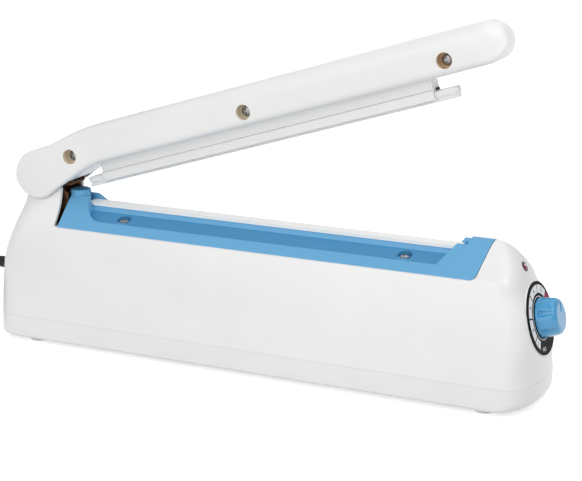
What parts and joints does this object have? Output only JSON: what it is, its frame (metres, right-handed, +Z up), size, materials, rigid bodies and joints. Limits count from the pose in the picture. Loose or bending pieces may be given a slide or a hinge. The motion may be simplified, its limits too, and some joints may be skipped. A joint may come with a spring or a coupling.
{
  "type": "hand impulse sealer",
  "caption": "Table-top hand impulse bag sealer: white body with a blue element cover, timer dial and knob, mains cord, and a hinged white arm with a rubber-faced press bar.",
  "frame": {"origin": "on the surface the feet stand on, under the middle of the seal strip", "axes": "+X along the body towards the knob, +Z up, -Y towards the side seen in the picture"},
  "size_m": [0.6303, 0.107, 0.2672],
  "materials": {
    "white_plastic": "smooth semi-gloss moulded ABS",
    "blue_plastic": "smooth satin moulded ABS, blue",
    "foot_rubber": "soft white rubber",
    "zinc_steel": "bright zinc plate",
    "spring_steel": "bright drawn wire",
    "dark_steel": "blackened steel",
    "brown_steel": "brown passivated steel plate",
    "seal_cloth": "white coated glass cloth, smooth",
    "insulation_cloth": "tan glass cloth",
    "heating_alloy": "rolled resistance alloy",
    "bare_aluminium": "extruded, bare",
    "terminal_brass": "turned brass",
    "bush_bronze": "sintered bronze",
    "core_steel": "varnished laminations",
    "bobbin_plastic": "natural nylon",
    "copper_winding": "enamelled copper wire",
    "board_green": "epoxy glass board",
    "relay_blue": "moulded relay case",
    "capacitor_sleeve": "shrink sleeve",
    "timer_case": "pressed case",
    "dial_black": "printed plate",
    "dial_white": "printed fields",
    "black_plastic": "moulded",
    "lamp_red": "tinted clear lens",
    "silicone": "pale silicone rubber",
    "clamp_grey": "moulded nylon",
    "lead_red": "insulated wire",
    "cord_black": "smooth PVC sheath",
    "tie_black": "nylon strap",
    "plug_black": "moulded plug"
  },
  "bodies": {
    "body": {"upper_housing": "white_plastic", "bottom_tray": "white_plastic", "element_cover": "blue_plastic", "feet": "foot_rubber", "tray_screws": "zinc_steel", "cover_screws": "zinc_steel", "terminal_screws": "zinc_steel", "transformer_strap": "zinc_steel", "transformer_screws": "zinc_steel", "board_screws": "zinc_steel", "potentiometer_nut": "zinc_steel", "microswitch_screws": "zinc_steel", "bracket_screws": "zinc_steel", "pivot_pin": "zinc_steel", "pivot_clips": "zinc_steel", "clamp_screws": "zinc_steel", "plug_pins": "zinc_steel", "plunger_spring": "spring_steel", "return_spring": "spring_steel", "hinge_bracket": "brown_steel", "seal_strip": "seal_cloth", "insulation_strip": "insulation_cloth", "heating_wire": "heating_alloy", "element_bar": "bare_aluminium", "wire_terminals": "terminal_brass", "transformer_core": "core_steel", "transformer_bobbin": "bobbin_plastic", "transformer_winding": "copper_winding", "timer_board": "board_green", "timer_relay": "relay_blue", "timer_capacitors": "capacitor_sleeve", "potentiometer": "timer_case", "dial_plate": "dial_black", "dial_fields": "dial_white", "lamp_rim": "black_plastic", "microswitch": "black_plastic", "lamp_lens": "lamp_red", "cord_clamp": "clamp_grey", "inner_leads": "lead_red", "strain_relief": "cord_black", "power_cord": "cord_black", "cord_coil": "cord_black", "cord_tail": "cord_black", "cord_tie": "tie_black", "plug_body": "plug_black"},
    "arm": {"arm_near_half": "white_plastic", "arm_far_half": "white_plastic", "arm_screws": "zinc_steel", "arm_nuts": "zinc_steel", "arm_lever": "brown_steel", "pivot_bushes": "bush_bronze", "press_bar": "bare_aluminium", "press_bar_screws": "zinc_steel", "press_bar_pin": "dark_steel", "rubber_strip": "silicone"},
    "plunger": {"switch_plunger": "blue_plastic"},
    "switch_lever": {"microswitch_lever": "zinc_steel"},
    "knob": {"timer_knob": "blue_plastic", "potentiometer_shaft": "zinc_steel", "knob_set_screw": "zinc_steel"}
  },
  "joints": [
    {"name": "arm_hinge", "type": "hinge", "parent": "body", "child": "arm", "pos_m": [-0.189, 0, 0.1292], "axis": [0, 1, 0], "range_deg": [0, 17.4], "stiffness_Nm_per_rad": 2, "springref_deg": -57.3, "deforming": ["return_spring"]},
    {"name": "plunger_slide", "type": "slide", "parent": "body", "child": "plunger", "axis": [0, 0, -1], "range_m": [0, 0.003], "deforming": ["plunger_spring"]},
    {"name": "switch_lever_hinge", "type": "hinge", "parent": "body", "child": "switch_lever", "pos_m": [-0.174, 0, 0.0852], "axis": [0, 1, 0], "range_deg": [0, 14.5]},
    {"name": "knob_turn", "type": "hinge", "parent": "body", "child": "knob", "pos_m": [0.2111, 0, 0.0622], "axis": [0.9694, 0, 0.2453], "range_deg": [-140, 140]}
  ],
  "couplings": [
    {"joint": "plunger_slide", "follows": "arm_hinge", "m_per_rad": 0.009878},
    {"joint": "switch_lever_hinge", "follows": "arm_hinge", "ratio": 0.83332}
  ]
}
